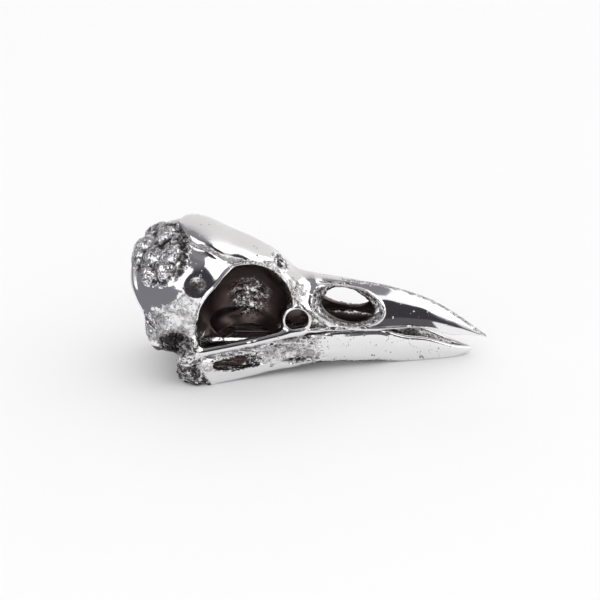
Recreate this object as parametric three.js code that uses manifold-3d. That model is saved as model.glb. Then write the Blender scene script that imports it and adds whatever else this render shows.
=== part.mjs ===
// A crow's skull, life size, as a polished one-piece metal casting that lies on its lower jaw.
// Millimetres: +X runs to the bill's tip, +Y to the bird's left, +Z up, and the floor is at z = 0.
// The skull is modelled whole, from ovals carried along its length, and then parted with thin cuts
// into the parts that a person would name.

import * as THREE from "three";
import { LoftGeometry } from "three/addons/geometries/LoftGeometry.js";
import { mergeVertices } from "three/addons/utils/BufferGeometryUtils.js";
import Module from "manifold-3d";

// Driving dimensions, in millimetres along the skull's own length.
const REAR = -46.2;
const TIP = 46.9;
const CUT = 0.3; // the gap where one named part meets the next
const FAR = 60; // past every side of the skull

// The braincase is one large oval with an ear swelling low on each side.
const BRAIN = { centre: [-31, 0, 24.4], radii: [15.2, 16.6, 15.1] };
const EAR = { centre: [-35.6, 8.6, 14.2], radii: [7.2, 6.6, 6.2] };
const SKULL_BASE = { centre: [-28, 0, 14], radii: [9, 11, 5] };
const EAR_HOLLOW = { centre: [-36, 16.6, 12.7], radii: [4.5, 3.9, 3.4] };
const BEHIND_SOCKET = { from: [-22.8, 10.6, 29.2], to: [-29.7, 15.6, 19.8], radii: [1.6, 0.9] };
const SPINE_HOLE = { centre: [-41.4, 0, 12.2], radii: [2.9, 2.8, 2.9] };
const NECK_KNOB = { centre: [-37.8, 0, 10.7], radii: [1.5, 1.6, 1.3] };

// Round nodules left on the crown by the casting, in rows. Each row leans back from upright by an
// angle and starts at an angle to the right; its nodules are a fixed angle apart, a little uneven.
const NODULE = { radius: 3, rise: 1.25, apart: 24, uneven: 3.5, turn: 2.4 };
const NODULE_ROWS = [
  { back: 26, first: -38, count: 3 },
  { back: 45, first: -51, count: 4 },
  { back: 62, first: -34, count: 3 },
];

// The forehead is a block that the two eye sockets hollow out down to a thin wall between them.
// Three smaller ovals carry each socket back to a nearly straight rear edge, and keep the wall
// between them thin down to its lower edge.
const SOCKET = { centre: [-16.6, 11.9, 20.3], radii: [11.6, 10.9, 11.3] };
const SOCKET_REAR = { centre: [-21, 14, 19], radii: [9.2, 8.4, 9.6] };
const SOCKET_FOOT = { centre: [-25, 15.5, 14.2], radii: [5.4, 7.5, 5.6] };
const SOCKET_WAIST = { centre: [-17.5, 9, 15], radii: [8.6, 7.6, 5] };
const TEAR_HOLE = { x: -4.1, z: 15.7, radius: 2.9, rim: 3.7, floor: 5.5, mouth: 9.7 };
const FOREHEAD_FOOT = 12;
const FOREHEAD_REAR = -33.4; // the roof's shield ends in a half round on the braincase
const roofTop = curve([
  [-34, 39.4], [-31, 39.5], [-28, 38.9], [-20.7, 36], [-12.9, 32.2],
  [-9.8, 30.4], [-6.4, 28], [-3.5, 25.4], [0, 23.9], [4, 23.2],
]);
const roofWidth = curve([
  [-33.4, 2.4], [-31.6, 7], [-29, 10.3], [-26, 11.2], [-22, 9.9],
  [-17, 8.8], [-12, 8.7], [-8, 9.2], [-5, 9.6], [0, 9.2],
]);
// How far below its top the roof starts to round over, and how square it is there.
const roofCrown = curve([[-34, 3], [-26, 5], [-18, 6], [-8, 6.4], [-3, 9.6], [0, 11.4]]);
const roofPower = curve([[-34, 2.4], [-20, 3], [-8, 3], [0, 1.9]]);

// The upper bill: its ridge, its cutting edge and its half width, from the forehead to the tip.
const ridge = curve([
  [-6, 24.6], [0, 23.9], [10.7, 22.2], [18.5, 20.6], [26.3, 18.2],
  [34.1, 14.5], [39.3, 11], [44.5, 6.9], [46.9, 5],
]);
const edge = curve([[-6, 12.4], [10, 11.3], [23, 10.3], [31, 9.2], [36.4, 7], [41.7, 5.9], [46.9, 4.5]]);
const billWidth = curve([
  [-6, 9.6], [0, 9.3], [10, 7.6], [23, 5.5], [31, 4.1], [38, 2.6], [43, 1.35], [46.9, 0.3],
]);
const BILL_POWER = 1.85; // 1 would be a plain gable, 2 an ellipse
const BILL_HOLLOW = { centre: [10, 0, 12.5], radii: [13, 5.2, 6.2] };
const NOSTRIL = { x: 9.3, z: 16.6, length: 6.9, height: 3.5, tilt: -17, bevel: 1.4, flare: 1.1 };
const NOSTRIL_ROOF = { under: 2.3, rise: 0.45 }; // the roof over the nostrils, and how it rises outwards

// The lower jaw: outer half width, lower and upper edge and thickness of each branch.
const jawWidth = curve([
  [-35, 14.4], [-30, 14.9], [-20, 13.2], [-10, 11.1], [0, 9.1],
  [10, 7.3], [20, 5.5], [30, 3.8], [38, 2.3], [42.8, 0.5],
]);
const jawFoot = curve([
  [-35, 1.8], [-30, -0.25], [-24, -0.1], [-14, 1.2], [-3, 2],
  [6, 2.1], [18, 0.9], [31, -0.2], [38, -0.15], [42.8, 1],
]);
const jawTop = curve([
  [-35, 7.6], [-28, 8.3], [-20, 9], [-10, 10], [-3, 10.8], [4, 11.2], [10, 10.9],
  [18, 10.1], [21, 8.9], [24, 7.6], [31, 5.9], [34, 4.7], [38, 3.1], [42.8, 1.8],
]);
const jawWall = curve([[-35, 3.6], [-20, 2.6], [0, 2.2], [20, 2], [30, 1.6], [42.8, 1]]);
const JAW_REAR = -34.8;
const JAW_TIP = 42.8;
const JAW_LEAN = 0.1; // the jaw's lower edge tucks in by this share of its height
const CHIN_START = 20; // in front of this the two branches are one trough
const CHIN_WALL = 1.25;
const CHIN_NOTCH = { centre: [18, 0, 0], radii: [8, 3.4, 30] };
const chinPower = curve([[20, 4], [24, 3], [30, 2.4], [42.8, 2.2]]);

// The slim parts between the two: cheek bars, shelves, joint blocks and palate bones.
const cheekOut = curve([[-31, 14.4], [-16, 12.2], [-3, 9]]);
const cheekHigh = curve([[-31, 9.3], [-16, 10.9], [-3, 12.4]]);
const CHEEK_RADIUS = 1.15;
const SHELF = { from: -29, width: 4.6, thick: 1.1, drop: 0.1 };
const JOINT_BLOCK = { centre: [-32, 13.2, 9.6], radii: [3.4, 3, 4.6] };
const palateOut = curve([[-20, 2.6], [-10, 3.9], [-2, 4.6]]);
const PALATE = { high: 10.3, half: 1.5, thick: 0.6 };
const WING = { from: [-19.6, 2.6, 9.6], to: [-30.2, 11.2, 7.2], radius: 0.8 };

// The planes that part the named pieces.
const NECK_CUT = -21.5;
const BILL_CUT = -0.9;
const CHEEK_CUT = -9;
const CHEEK_REAR = -28.4;

const wasm = await Module();
wasm.setup();

// A natural cubic spline through hand-set [x, value] stations, flat beyond its ends.
function curve(stations) {
  const n = stations.length - 1;
  const x = stations.map((s) => s[0]);
  const v = stations.map((s) => s[1]);
  const bend = new Array(n + 1).fill(0);
  const share = new Array(n + 1).fill(0);
  for (let i = 1; i < n; i++) {
    const before = x[i] - x[i - 1];
    const after = x[i + 1] - x[i];
    const weight = 2 * (before + after) - before * share[i - 1];
    const slopes = (v[i + 1] - v[i]) / after - (v[i] - v[i - 1]) / before;
    share[i] = after / weight;
    bend[i] = (6 * slopes - before * bend[i - 1]) / weight;
  }
  for (let i = n - 1; i > 0; i--) bend[i] -= share[i] * bend[i + 1];
  return (at) => {
    const t = Math.min(Math.max(at, x[0]), x[n]);
    const i = Math.min(Math.max(x.findIndex((s) => s >= t) - 1, 0), n - 1);
    const span = x[i + 1] - x[i];
    const a = (x[i + 1] - t) / span;
    const b = (t - x[i]) / span;
    const curl = ((a ** 3 - a) * bend[i] + (b ** 3 - b) * bend[i + 1]) * (span * span) / 6;
    return a * v[i] + b * v[i + 1] + curl;
  };
}

// A closed three.js geometry as a solid that can be joined and cut.
function solid(geometry) {
  const bare = new THREE.BufferGeometry();
  bare.setAttribute("position", geometry.getAttribute("position"));
  bare.setIndex(geometry.index);
  const merged = mergeVertices(bare, 1e-4);
  const vertProperties = merged.attributes.position.array;
  const triVerts = new Uint32Array(merged.index.array);
  return new wasm.Manifold(new wasm.Mesh({ numProp: 3, vertProperties, triVerts }));
}

function oval({ centre, radii }, { side = 1, grow = 0, around = 18, down = 12 } = {}) {
  const ball = new THREE.SphereGeometry(1, around, down);
  ball.scale(radii[0] + grow, radii[1] + grow, radii[2] + grow);
  ball.translate(centre[0], side * centre[1], centre[2]);
  return solid(ball);
}

// A box between two opposite corners.
function block(low, high) {
  const size = high.map((value, i) => value - low[i]);
  const box = new THREE.BoxGeometry(...size);
  box.translate(...low.map((value, i) => value + size[i] / 2));
  return solid(box);
}

// Everything between two planes across the skull's length.
function slice(low, high) {
  return block([low, -FAR, -FAR], [high, FAR, FAR]);
}

// Evenly spaced places from one end to the other, both included.
function steps(from, to, count) {
  return Array.from({ length: count + 1 }, (_, i) => from + ((to - from) * i) / count);
}

// A body carried along X: ring(x) gives its corners as [y, z], anticlockwise seen from the bill.
function alongX(places, ring) {
  const sections = places.map((x) => ring(x).map(([y, z]) => new THREE.Vector3(x, y, z)));
  return solid(new LoftGeometry(sections, { capStart: true, capEnd: true }));
}

// Corners of a rounded box: |y / halfY|^power + |z / halfZ|^power = 1 round a centre.
function roundedBox([y, z], [halfY, halfZ], power, corners) {
  return steps(0, 2 * Math.PI, corners).slice(0, -1).map((angle) => {
    const [c, s] = [Math.cos(angle), Math.sin(angle)];
    const bow = (value) => Math.sign(value) * Math.abs(value) ** (2 / power);
    return [y + halfY * bow(c), z + halfZ * bow(s)];
  });
}

// Corners of an arch on a flat foot: a half rounded box over z = foot.
function arch(halfY, foot, shoulder, top, power, corners) {
  const bow = (value) => Math.sign(value) * Math.abs(value) ** (2 / power);
  const over = steps(0, Math.PI, corners).map((angle) => {
    return [halfY * bow(Math.cos(angle)), shoulder + (top - shoulder) * bow(Math.sin(angle))];
  });
  return shoulder > foot ? [[-halfY, foot], [halfY, foot], ...over] : over;
}

// A round rod between two points, thinning from one radius to the other.
function rod(from, to, [startRadius, endRadius], side = 1) {
  const start = new THREE.Vector3(from[0], side * from[1], from[2]);
  const end = new THREE.Vector3(to[0], side * to[1], to[2]);
  const along = end.clone().sub(start);
  const shaft = new THREE.CylinderGeometry(endRadius, startRadius, along.length(), 10);
  shaft.applyQuaternion(new THREE.Quaternion().setFromUnitVectors(
    new THREE.Vector3(0, 1, 0), along.clone().normalize(),
  ));
  shaft.translate(...start.add(end).multiplyScalar(0.5).toArray());
  return solid(shaft);
}

const both = (make) => make(1).add(make(-1));

// The nodules, each a ball sunk in the braincase until it stands proud of it by its rise.
function nodules() {
  const balls = [];
  for (const { back, first, count } of NODULE_ROWS) {
    for (let i = 0; i < count; i++) {
      const shift = NODULE.uneven * Math.sin(NODULE.turn * balls.length);
      const lean = THREE.MathUtils.degToRad(back - shift);
      const across = THREE.MathUtils.degToRad(first + NODULE.apart * i + shift);
      const way = [-Math.sin(lean) * Math.cos(across), Math.sin(across), Math.cos(lean) * Math.cos(across)];
      const depth = NODULE.radius - NODULE.rise;
      const centre = way.map((share, n) => BRAIN.centre[n] + (BRAIN.radii[n] - depth) * share);
      const radii = [NODULE.radius, NODULE.radius, NODULE.radius];
      balls.push(oval({ centre, radii }, { around: 10, down: 7 }));
    }
  }
  return balls.reduce((all, ball) => all.add(ball));
}

// The braincase with its ear swellings, before the skull's other parts are joined to it.
function braincase(grow = 0) {
  const shell = oval(BRAIN, { grow, around: 24, down: 14 });
  const ears = both((side) => oval(EAR, { side, grow, around: 16, down: 10 }));
  const hollows = both((side) => oval(EAR_HOLLOW, { side, grow: -grow, around: 14, down: 8 }));
  const base = oval(SKULL_BASE, { grow, around: 14, down: 8 });
  return shell.add(base).add(ears).subtract(hollows);
}

function forehead() {
  return alongX([FOREHEAD_REAR, -32.6, -31.6, ...steps(-30, 2, 13)], (x) => {
    const top = roofTop(x);
    return arch(roofWidth(x), FOREHEAD_FOOT, top - roofCrown(x), top, roofPower(x), 10);
  });
}

function bill() {
  const places = [...steps(-6, 37, 14), ...steps(40, TIP, 4)];
  return alongX(places, (x) => arch(billWidth(x), edge(x), edge(x), ridge(x), BILL_POWER, 12));
}

// The bill's half width at a height above its cutting edge.
function billSide(x, z) {
  const rise = THREE.MathUtils.clamp((z - edge(x)) / (ridge(x) - edge(x)), 0, 1);
  return billWidth(x) * (1 - rise ** BILL_POWER) ** (1 / BILL_POWER);
}

// One nostril's passage from the middle outwards: a tilted oval, bevelled where it comes out.
function nostril(side) {
  const tilt = THREE.MathUtils.degToRad(NOSTRIL.tilt);
  const ring = (flare, reach) => steps(0, 2 * Math.PI, 18).slice(0, -1).map((angle) => {
    const along = (NOSTRIL.length + flare) * Math.cos(angle);
    const up = (NOSTRIL.height + flare) * Math.sin(angle);
    const x = NOSTRIL.x + along * Math.cos(tilt) - up * Math.sin(tilt);
    const z = NOSTRIL.z + along * Math.sin(tilt) + up * Math.cos(tilt);
    const out = reach(x, z);
    const roof = ridge(x) - NOSTRIL_ROOF.under + NOSTRIL_ROOF.rise * out;
    return new THREE.Vector3(x, side * out, Math.min(z, roof));
  });
  const sections = [
    ring(0, () => 0),
    ring(0, (x, z) => Math.max(billSide(x, z) - NOSTRIL.bevel, NOSTRIL.bevel)),
    ring(2 * NOSTRIL.flare, (x, z) => billSide(x, z) + NOSTRIL.bevel),
    ring(2 * NOSTRIL.flare, () => billWidth(0) + 2 * NOSTRIL.bevel),
  ];
  if (side > 0) sections.forEach((section) => section.reverse());
  return solid(new LoftGeometry(sections, { capStart: true, capEnd: true }));
}

// A round bar across the skull at the tear hole, from one distance off the middle to another.
function tearBar(side, radius, from, to) {
  const bar = new THREE.CylinderGeometry(radius, radius, to - from, 20);
  bar.translate(TEAR_HOLE.x, (side * (from + to)) / 2, TEAR_HOLE.z);
  return solid(bar);
}

// One eye socket: the round hollow and the three that carry it back and down.
function socket(side) {
  return oval(SOCKET, { side, around: 20, down: 12 })
    .add(oval(SOCKET_REAR, { side, around: 16, down: 12 }))
    .add(oval(SOCKET_FOOT, { side, around: 12, down: 8 }))
    .add(oval(SOCKET_WAIST, { side, around: 12, down: 8 }));
}

// The upper skull in one piece: braincase, forehead and bill, with its sockets and nostrils cut.
function upperSkull() {
  const bars = both((side) => {
    return rod(BEHIND_SOCKET.from, BEHIND_SOCKET.to, BEHIND_SOCKET.radii, side);
  });
  const crown = braincase().add(nodules());
  const head = crown.add(forehead()).add(bars).subtract(both(socket));
  const rims = both((side) => tearBar(side, TEAR_HOLE.rim, TEAR_HOLE.floor - 1, TEAR_HOLE.mouth));
  const neck = oval(NECK_KNOB, { around: 8, down: 6 });
  const withNeck = head.subtract(oval(SPINE_HOLE, { around: 12, down: 8 })).add(neck);
  return withNeck.add(bill()).add(rims)
    .subtract(both(nostril))
    .subtract(oval(BILL_HOLLOW, { around: 14, down: 10 }))
    .subtract(both((side) => tearBar(side, TEAR_HOLE.radius, TEAR_HOLE.floor, FAR)));
}

// One branch of the lower jaw, an upright oval bar that leans in towards its foot.
function jawBranch(side, grow = 0) {
  return alongX(steps(JAW_REAR - grow, CHIN_START + 0.5, 14), (x) => {
    const middle = (jawTop(x) + jawFoot(x)) / 2;
    const half = [jawWall(x) / 2 + grow, (jawTop(x) - jawFoot(x)) / 2 + grow];
    return roundedBox([jawWidth(x) - jawWall(x) / 2, middle], half, 2.6, 12).map(([y, z]) => {
      return [side * y + side * JAW_LEAN * (z - middle), z];
    })[side > 0 ? "slice" : "reverse"]();
  });
}

// The trough where the two branches run together to the jaw's tip.
function chin() {
  const trough = (x, wall) => {
    const half = Math.max(jawWidth(x) - wall, 0.12);
    const deep = Math.max(jawTop(x) - jawFoot(x) - wall, 0.15);
    return arch(half, -jawTop(x), -jawTop(x), deep - jawTop(x), chinPower(x), 10).map(([y, z]) => [-y, -z]);
  };
  const outside = alongX(steps(CHIN_START, JAW_TIP, 8), (x) => trough(x, 0));
  const inside = alongX(steps(CHIN_START - 1, JAW_TIP - 1.5, 8), (x) => {
    return trough(x, CHIN_WALL).map(([y, z]) => [y, z + (z >= jawTop(x) - 0.01 ? 1 : 0)]);
  });
  return outside.subtract(inside).subtract(oval(CHIN_NOTCH, { around: 16, down: 12 }));
}

function cheekBar(side) {
  return alongX(steps(CHEEK_REAR, CHEEK_CUT - CUT / 2, 5), (x) => {
    return roundedBox([side * cheekOut(x), cheekHigh(x)], [CHEEK_RADIUS, CHEEK_RADIUS], 2, 8);
  });
}

// The stub of a cheek bar that runs forward on to the bill's corner.
function cheekRoot(side) {
  return alongX(steps(CHEEK_CUT + CUT / 2, -2, 4), (x) => {
    return roundedBox([side * cheekOut(x), cheekHigh(x)], [CHEEK_RADIUS, CHEEK_RADIUS], 2, 8);
  });
}

// The flat shelf inside a cheek bar, wide at the joint and running out forwards.
function shelf(side) {
  return alongX(steps(SHELF.from, CHEEK_CUT - CUT / 2, 6), (x) => {
    const share = (CHEEK_CUT - x) / (CHEEK_CUT - SHELF.from);
    const half = 0.4 + (SHELF.width * share) / 2;
    const y = side * (cheekOut(x) - half);
    return roundedBox([y, cheekHigh(x) - SHELF.drop], [half, SHELF.thick / 2], 4, 8);
  });
}

function jointBlock(side, grow = 0) {
  return oval(JOINT_BLOCK, { side, grow, around: 14, down: 8 });
}

// A palate bone under the wall between the eye sockets, and the rod from it to the joint block.
function palateBone(side) {
  const blade = alongX(steps(-20, BILL_CUT - CUT, 6), (x) => {
    return roundedBox([side * palateOut(x), PALATE.high], [PALATE.half, PALATE.thick], 3, 8);
  });
  return blade.add(rod(WING.from, WING.to, [WING.radius, WING.radius], side));
}

// Each named part is the whole skull between its planes, kept clear of the parts that it meets.
const skull = upperSkull().add(both(cheekRoot));
const aboveFloor = block([-FAR, -FAR, 0], [FAR, FAR, FAR]);
const parts = {
  braincase: skull.intersect(slice(-FAR, NECK_CUT - CUT / 2)),
  forehead: skull.intersect(slice(NECK_CUT + CUT / 2, BILL_CUT - CUT / 2)),
  upper_bill: skull.intersect(slice(BILL_CUT + CUT / 2, FAR)),
  jaw_tip: chin().add(both(jawBranch)).intersect(slice(CHIN_START + CUT / 2, FAR)).intersect(aboveFloor),
};
for (const [name, side] of [["left", 1], ["right", -1]]) {
  const jaw = jawBranch(side).intersect(slice(-FAR, CHIN_START - CUT / 2)).intersect(aboveFloor);
  const joint = jointBlock(side).subtract(braincase(CUT)).subtract(jawBranch(side, CUT));
  parts["jaw_" + name] = jaw;
  parts["joint_block_" + name] = joint;
  parts["cheek_bar_" + name] = cheekBar(side).add(shelf(side)).subtract(jointBlock(side, CUT));
  parts["palate_" + name] = palateBone(side).subtract(jointBlock(side, CUT));
}

// Cast metal, polished where a wheel reaches it and left as cast in its hollows.
const castMetal = new THREE.MeshStandardMaterial({ color: 0xc9cacc, roughness: 0.18, metalness: 1 });
const model = new THREE.Group();
model.position.x = -(REAR + TIP) / 2;
for (const [name, part] of Object.entries(parts)) {
  const { numProp, vertProperties, triVerts } = part.getMesh();
  const geometry = new THREE.BufferGeometry();
  geometry.setAttribute("position", new THREE.BufferAttribute(vertProperties, numProp));
  geometry.setIndex(new THREE.BufferAttribute(triVerts, 1));
  geometry.computeVertexNormals();
  const mesh = new THREE.Mesh(geometry, castMetal);
  mesh.name = name;
  model.add(mesh);
}

export default model;
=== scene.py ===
import math

import bpy
import numpy as np
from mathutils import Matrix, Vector


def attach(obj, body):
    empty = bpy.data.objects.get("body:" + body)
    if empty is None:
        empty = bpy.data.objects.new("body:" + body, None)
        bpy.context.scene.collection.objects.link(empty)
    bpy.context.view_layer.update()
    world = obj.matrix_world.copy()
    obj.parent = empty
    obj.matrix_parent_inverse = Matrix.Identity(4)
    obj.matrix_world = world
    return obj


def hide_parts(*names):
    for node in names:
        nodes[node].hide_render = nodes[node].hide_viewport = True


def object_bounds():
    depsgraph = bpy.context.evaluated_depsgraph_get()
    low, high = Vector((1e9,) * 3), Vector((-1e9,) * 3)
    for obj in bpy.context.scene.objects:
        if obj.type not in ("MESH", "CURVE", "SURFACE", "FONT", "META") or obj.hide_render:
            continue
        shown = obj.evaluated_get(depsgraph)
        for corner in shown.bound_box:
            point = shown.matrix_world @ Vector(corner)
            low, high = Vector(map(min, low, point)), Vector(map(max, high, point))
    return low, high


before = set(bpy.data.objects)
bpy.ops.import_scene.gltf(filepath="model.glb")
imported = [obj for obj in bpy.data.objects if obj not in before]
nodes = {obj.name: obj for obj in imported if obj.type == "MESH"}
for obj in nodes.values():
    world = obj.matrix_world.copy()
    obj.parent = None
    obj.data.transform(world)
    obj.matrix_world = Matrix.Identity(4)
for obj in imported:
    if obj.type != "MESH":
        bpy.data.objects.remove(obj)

# A crow's skull, life size, as a polished one-piece metal casting that lies on its lower jaw.
# A casting with windows right through it is no sheet of two parameters, so it is worked out as a
# field: a function of x, y, z in millimetres that is negative in the metal and zero on its surface.
# Each section gives its own part of the skull so, and "The casting" pours them into one mesh.
# +X runs to the bill's tip and +Y to the bird's left, with x = 0 where the bill meets the forehead.
cad_box = [list(corner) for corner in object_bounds()]


# ------------------------------------------------------------------------------- Braincase
# The rounded rear of the skull: a dome with a swelling low on each side round the ear, a crest
# round the nape, and the spine's hole below. Cast solid with the rest, and polished on its flanks.
REAR = -46.2
DOME = ((-31.0, 0.0, 24.4), (15.2, 16.6, 15.1))
EAR_SWELLING = ((-35.6, 8.6, 14.2), (7.2, 6.6, 6.2))
SKULL_BASE = ((-28.0, 0.0, 14.0), (9.0, 6.0, 5.0))
EAR_HOLLOW = ((-36.0, 16.6, 12.7), (4.5, 3.9, 3.4))
CHEEK_DISH = ((-33.4, 22.6, 18.7), (5.4, 6.9, 4.2))
TEMPLE_DISH = ((-29.4, 21.9, 29.4), (4.4, 6.6, 4.0))
SPINE_HOLE = ((-41.4, 0.0, 12.2), (2.9, 2.8, 2.9))
NECK_KNOB = ((-37.8, 0.0, 10.7), (1.5, 1.6, 1.3))
NAPE_CRACKS = (((-41.3, 12.0, 17.2), (-39.4, 14.2, 15.6)), ((-43.0, 9.8, 19.6), (-42.2, 10.9, 17.9)))
ROUGH_CROWN = ((-38.0, -5.0, 33.5), (8.6, 13.0, 8.2))
NODULE_RADIUS = 3.0
NODULE_RISE = 1.25
NODULE_ROWS = ((26, -38, 3), (45, -51, 4), (62, -34, 3))
NODULES_APART = 24
NODULES_UNEVEN = 3.5
CREST_RADIUS = 0.75


def smooth_line(stations):
    """Natural cubic spline through (place, value) pairs, level past both ends."""
    t, v = np.array(stations, float).T
    h = np.diff(t)
    bend = np.eye(len(t))
    pull = np.zeros(len(t))
    for i in range(1, len(t) - 1):
        bend[i, i - 1:i + 2] = h[i - 1], 2 * (h[i - 1] + h[i]), h[i]
        pull[i] = 6 * ((v[i + 1] - v[i]) / h[i] - (v[i] - v[i - 1]) / h[i - 1])
    m = np.linalg.solve(bend, pull)

    def line(x):
        x = np.clip(x, t[0], t[-1])
        k = np.clip(np.searchsorted(t, x) - 1, 0, len(t) - 2)
        a, b = (t[k + 1] - x) / h[k], (x - t[k]) / h[k]
        return a * v[k] + b * v[k + 1] + ((a**3 - a) * m[k] + (b**3 - b) * m[k + 1]) * h[k] ** 2 / 6

    return line


def melt(a, b, fillet):
    """Forms a and b run together: the lower of the two, less fillet h (1 - h) where they are close."""
    h = np.clip(0.5 + 0.5 * (b - a) / fillet, 0, 1)
    return b + (a - b) * h - fillet * h * (1 - h)


def meet(a, b, fillet):
    """What forms a and b share: the higher of the two, rounded where they are close."""
    return -melt(-a, -b, fillet)


def carve(a, b, fillet):
    """Form a with form b cut out of it."""
    return meet(a, -b, fillet)


def bead(a, b, radius):
    """A round bead along the line where two surfaces cross: sqrt(a^2 + b^2) - radius."""
    return np.sqrt(a * a + b * b) - radius


def egg(x, y, z, form):
    """Ellipsoid of a centre and radii: k (k - 1) / g, with k = |p / r| and g = |p / r^2|."""
    (cx, cy, cz), (rx, ry, rz) = form
    u, v, w = (x - cx) / rx, (y - cy) / ry, (z - cz) / rz
    k = np.sqrt(u * u + v * v + w * w) + 1e-6
    g = np.sqrt((u / rx) ** 2 + (v / ry) ** 2 + (w / rz) ** 2) + 1e-6
    return k * (k - 1) / g


def rod(x, y, z, start, end, first, last):
    """Round rod from start to end, its radius going from first to last: |p - nearest| - radius."""
    start, run = np.array(start, float), np.subtract(end, start)
    along = (x - start[0]) * run[0] + (y - start[1]) * run[1] + (z - start[2]) * run[2]
    t = np.clip(along / (run @ run), 0, 1)
    away = [(c - start[i] - t * run[i]) ** 2 for i, c in enumerate((x, y, z))]
    return np.sqrt(sum(away)) - (first + (last - first) * t)


def zone(distance, soft):
    """1 inside a form and 0 outside it, over a border of width `soft`."""
    return np.clip(0.5 - distance / soft, 0, 1)


def skewed(x, y, z, size):
    """The point turned out of line with the axes, over `size`, so that no pattern runs square to them."""
    return (0.77 * x + 0.52 * y - 0.37 * z) / size, (0.78 * y - 0.55 * x - 0.29 * z) / size, \
        (0.14 * x + 0.34 * y + 0.93 * z) / size


def grain(x, y, z, size, seed):
    """Lumpy value from 0 to 1: seeded random numbers on a lattice of pitch `size`.

    Neighbours on the lattice are mixed by t^3 (6t^2 - 15t + 10).
    """
    lattice = np.random.default_rng(seed).random((32, 32, 32))
    cell, mix = [], []
    for c in skewed(x, y, z, size):
        floor = np.floor(c)
        t = c - floor
        cell.append(floor.astype(int) % 32)
        mix.append(t**3 * (6 * t * t - 15 * t + 10))
    total = 0
    for i in (0, 1):
        for j in (0, 1):
            for k in (0, 1):
                share = (mix[0] if i else 1 - mix[0]) * (mix[1] if j else 1 - mix[1])
                share = share * (mix[2] if k else 1 - mix[2])
                total = total + share * lattice[(cell[0] + i) % 32, (cell[1] + j) % 32, (cell[2] + k) % 32]
    return total


def pebbles(x, y, z, size, seed):
    """Distance to the nearest of a seeded scatter of spots, one in each cube of side `size`, over `size`."""
    spots = np.random.default_rng(seed).random((16, 16, 16, 3))
    place = skewed(x, y, z, size)
    cube = [np.floor(c).astype(int) for c in place]
    nearest = np.full(np.shape(x), 9.0)
    for i in (-1, 0, 1):
        for j in (-1, 0, 1):
            for k in (-1, 0, 1):
                near = [cube[0] + i, cube[1] + j, cube[2] + k]
                spot = spots[near[0] % 16, near[1] % 16, near[2] % 16]
                nearest = np.minimum(nearest, sum((place[n] - near[n] - spot[..., n]) ** 2 for n in range(3)))
    return np.sqrt(nearest)


def patch(x, y, z, distance, soft, texture):
    """A texture kept to the inside of a form, and worked out only there."""
    share = zone(distance, soft)
    here = share > 0
    made = np.zeros(np.shape(share))
    made[here] = share[here] * texture(x[here], y[here], z[here])
    return made


crest_width = smooth_line(
    [(14, 12.6), (17.5, 11.1), (19.1, 10.3), (22.4, 9.0), (25.6, 6.7), (29.5, 3.6), (31.6, 1.0), (33, -2.0)]
)


def dome(x, y, z):
    """The dome with its ear swellings and base, before anything is cut in it."""
    side = np.abs(y)
    form = melt(egg(x, y, z, DOME), egg(x, side, z, EAR_SWELLING), 3.0)
    return melt(form, egg(x, side, z, SKULL_BASE), 3.0)


def nape_crest(x, y, z, form):
    """The raised line that arches over the nape: a bead where the dome crosses |y| = crest_width(z)."""
    arch = (np.abs(y) - crest_width(z)) * 0.75
    return meet(bead(form, arch, CREST_RADIUS), x + 39, 1.5)


def braincase_cuts(x, y, z, form):
    """Ear hollow with its rolled rim, cheek and temple dishes, the spine's hole and the nape's cracks."""
    side = np.abs(y)
    form = carve(form, egg(x, side, z, CHEEK_DISH), 1.8)
    form = carve(form, egg(x, side, z, TEMPLE_DISH), 1.6)
    ear = egg(x, side, z, EAR_HOLLOW)
    form = carve(melt(form, bead(form, ear, 0.35), 0.4), ear, 0.4)
    spine = egg(x, y, z, SPINE_HOLE)
    form = carve(melt(form, bead(form, spine, 0.5), 0.6), spine, 0.5)
    form = melt(form, egg(x, y, z, NECK_KNOB), 0.5)
    for start, end in NAPE_CRACKS:
        form = carve(form, rod(x, side, z, start, end, 0.5, 0.35), 0.3)
    return form


def nodule_places():
    """Centres of the round nodules left on the crown, in rows that lean back by an angle from upright."""
    places = []
    for back, first, count in NODULE_ROWS:
        for i in range(count):
            shift = NODULES_UNEVEN * math.sin(2.4 * len(places))
            lean, across = math.radians(back - shift), math.radians(first + NODULES_APART * i + shift)
            way = (-math.sin(lean) * math.cos(across), math.sin(across), math.cos(lean) * math.cos(across))
            depth = NODULE_RADIUS - NODULE_RISE
            places.append([c + (r - depth) * w for c, r, w in zip(*DOME, way)])
    return np.array(places)


def nodules(x, y, z):
    """Distance outside the nearest nodule, a ball sunk in the dome: |p - centre| - radius."""
    nearest = np.full(np.shape(x), 99.0)
    for cx, cy, cz in nodule_places():
        nearest = np.minimum(nearest, (x - cx) ** 2 + (y - cy) ** 2 + (z - cz) ** 2)
    return np.sqrt(nearest) - NODULE_RADIUS


def crown_grit(x, y, z):
    """Small round beads that cover the rough-cast crown and its nodules: how far they stand proud."""
    beads = 0.62 * np.clip(0.8 - 1.2 * pebbles(x, y, z, 1.5, 3), 0, 0.5)
    return beads + 0.4 * np.clip(0.8 - 1.3 * pebbles(x, y, z, 0.8, 4), 0, 0.5)


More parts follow.
